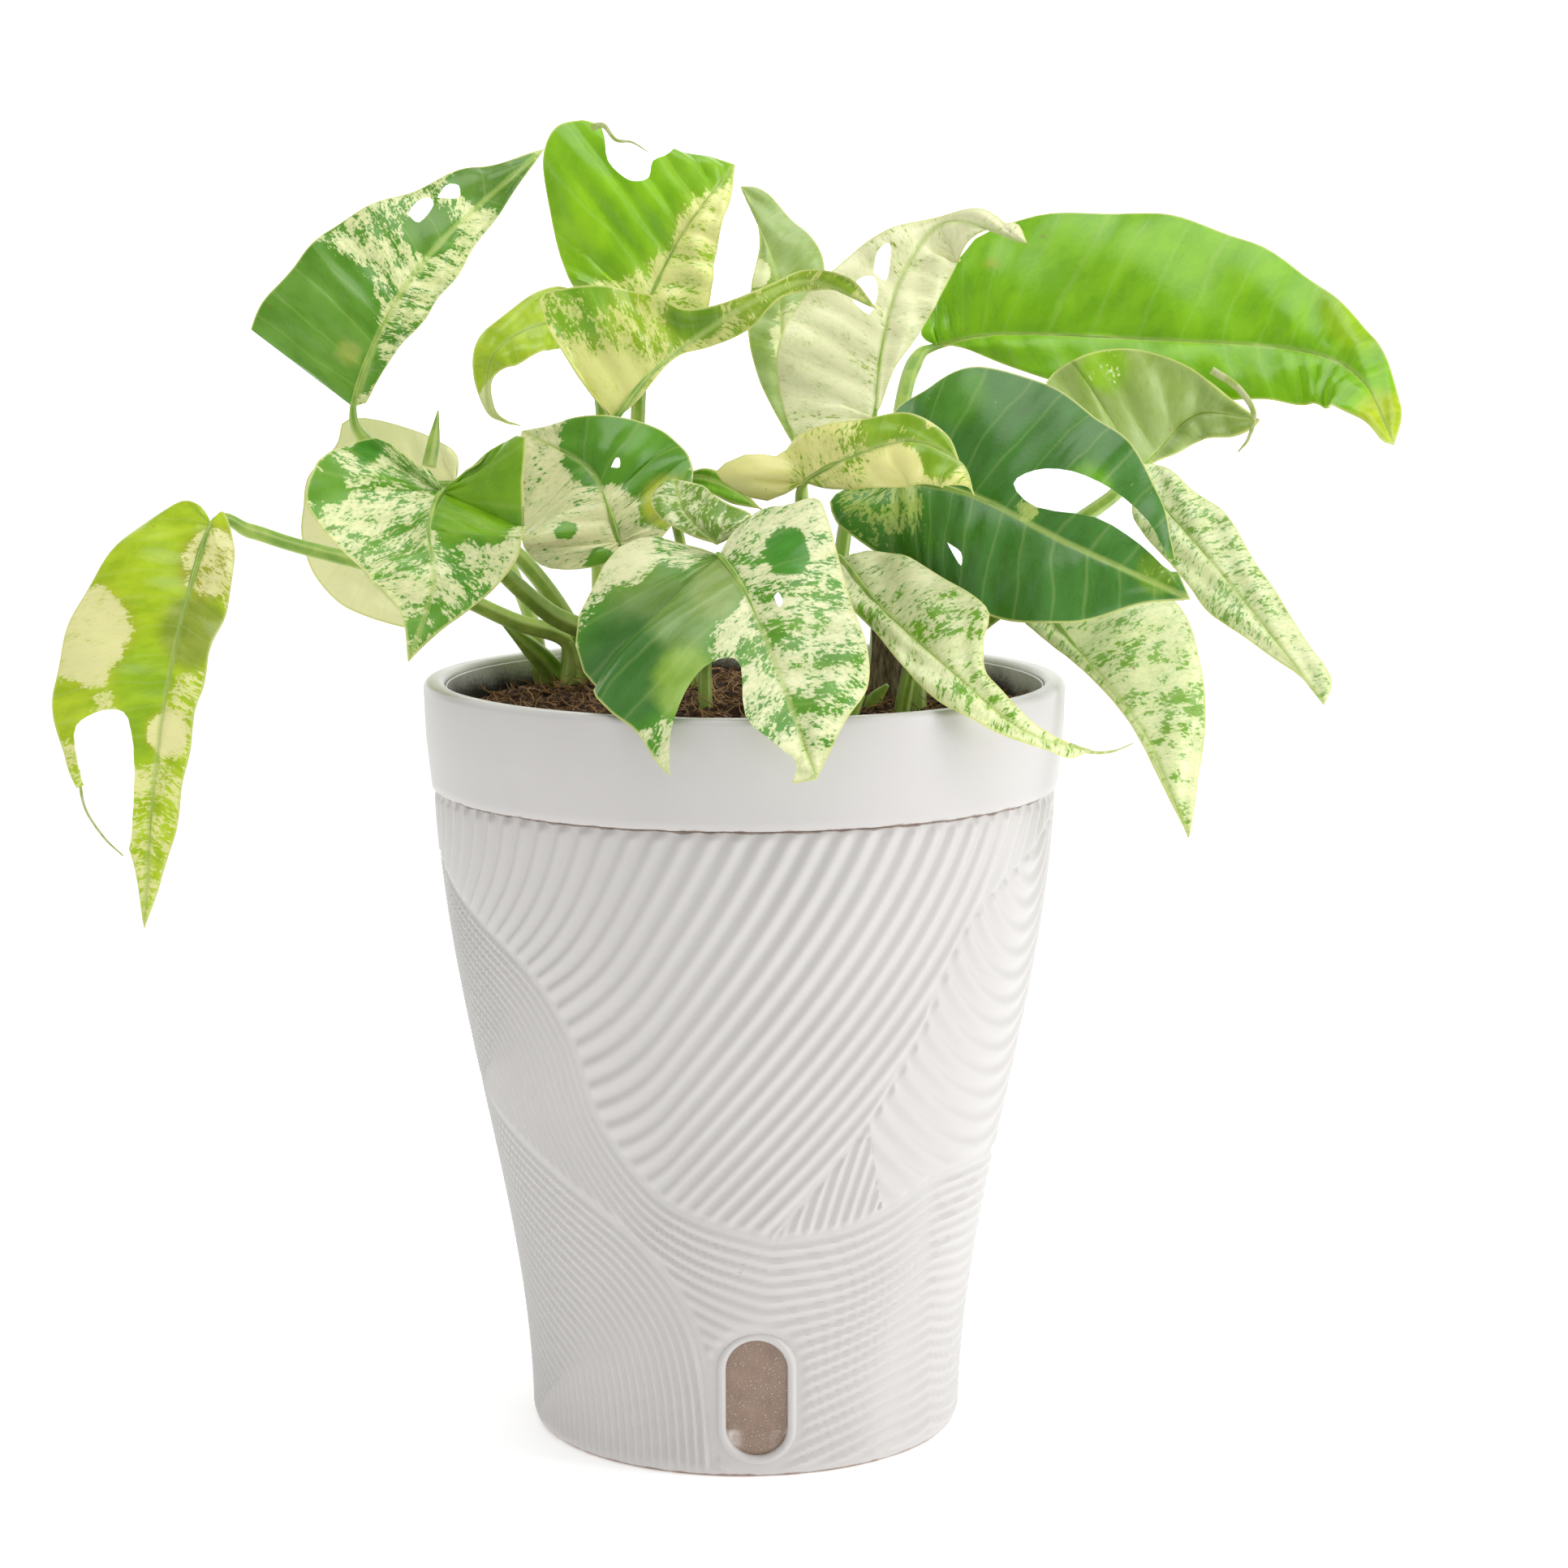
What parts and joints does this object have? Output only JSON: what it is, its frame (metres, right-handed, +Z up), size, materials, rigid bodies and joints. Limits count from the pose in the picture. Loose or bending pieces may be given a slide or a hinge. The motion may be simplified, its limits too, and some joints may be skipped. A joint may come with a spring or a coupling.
{
  "type": "potted vine in a self-watering pot",
  "caption": "Marbled split-leaf vine growing in a tapered pot with a raised relief, a lift-out liner and a water-level window at its foot.",
  "frame": {"origin": "on the pot's axis, at the underside of its foot, where it stands on the floor", "axes": "+Z up along the pot's axis; -Y is the front, where the window is; +X is to the right seen from the front"},
  "size_m": [0.3164, 0.2068, 0.3081],
  "materials": {
    "painted_shell": "semi-gloss off-white paint on moulded plastic",
    "liner": "black moulded plastic, its collar painted off-white",
    "window": "frosted clear plastic",
    "mix": "coir fibre and peat",
    "leaf": "waxy living leaf, marbled green and cream",
    "stalk": "waxy green stalk",
    "bark": "dry fibrous stem"
  },
  "bodies": {
    "shell": {"outer_pot": "painted_shell", "window_lens": "window", "window_seal": "painted_shell"},
    "planter": {"basal_bud": "stalk", "blade_big_green": "leaf", "blade_centre": "leaf", "blade_centre_left": "leaf", "blade_curled": "leaf", "blade_dark_split": "leaf", "blade_far_left": "leaf", "blade_far_right": "leaf", "blade_front_back_lobe": "leaf", "blade_front_split": "leaf", "blade_green_tip": "leaf", "blade_left_heart": "leaf", "blade_low_right": "leaf", "blade_pale_back": "leaf", "blade_pale_holes": "leaf", "blade_sage_back": "leaf", "blade_sage_curl": "leaf", "blade_tendril": "leaf", "blade_top_green": "leaf", "blade_upper_left": "leaf", "blade_yellow": "leaf", "crown_left": "stalk", "inner_pot": "liner", "old_stem": "bark", "potting_mix": "mix", "rolled_leaf": "leaf", "sheath_left": "stalk", "stalk_big_green": "stalk", "stalk_centre": "stalk", "stalk_centre_left": "stalk", "stalk_curled": "stalk", "stalk_dark_split": "stalk", "stalk_far_left": "stalk", "stalk_far_right": "stalk", "stalk_front_split": "stalk", "stalk_green_tip": "stalk", "stalk_left_heart": "stalk", "stalk_low_right": "stalk", "stalk_pale_back": "stalk", "stalk_pale_holes": "stalk", "stalk_sage_back": "stalk", "stalk_sage_curl": "stalk", "stalk_tendril": "stalk", "stalk_top_green": "stalk", "stalk_upper_left": "stalk", "stalk_yellow": "stalk", "stub_short": "stalk", "stub_tall": "stalk"}
  },
  "joints": [
    {"name": "liner_lift", "type": "slide", "parent": "shell", "child": "planter", "axis": [0, 0, 1], "range_m": [0, 0.16]}
  ]
}
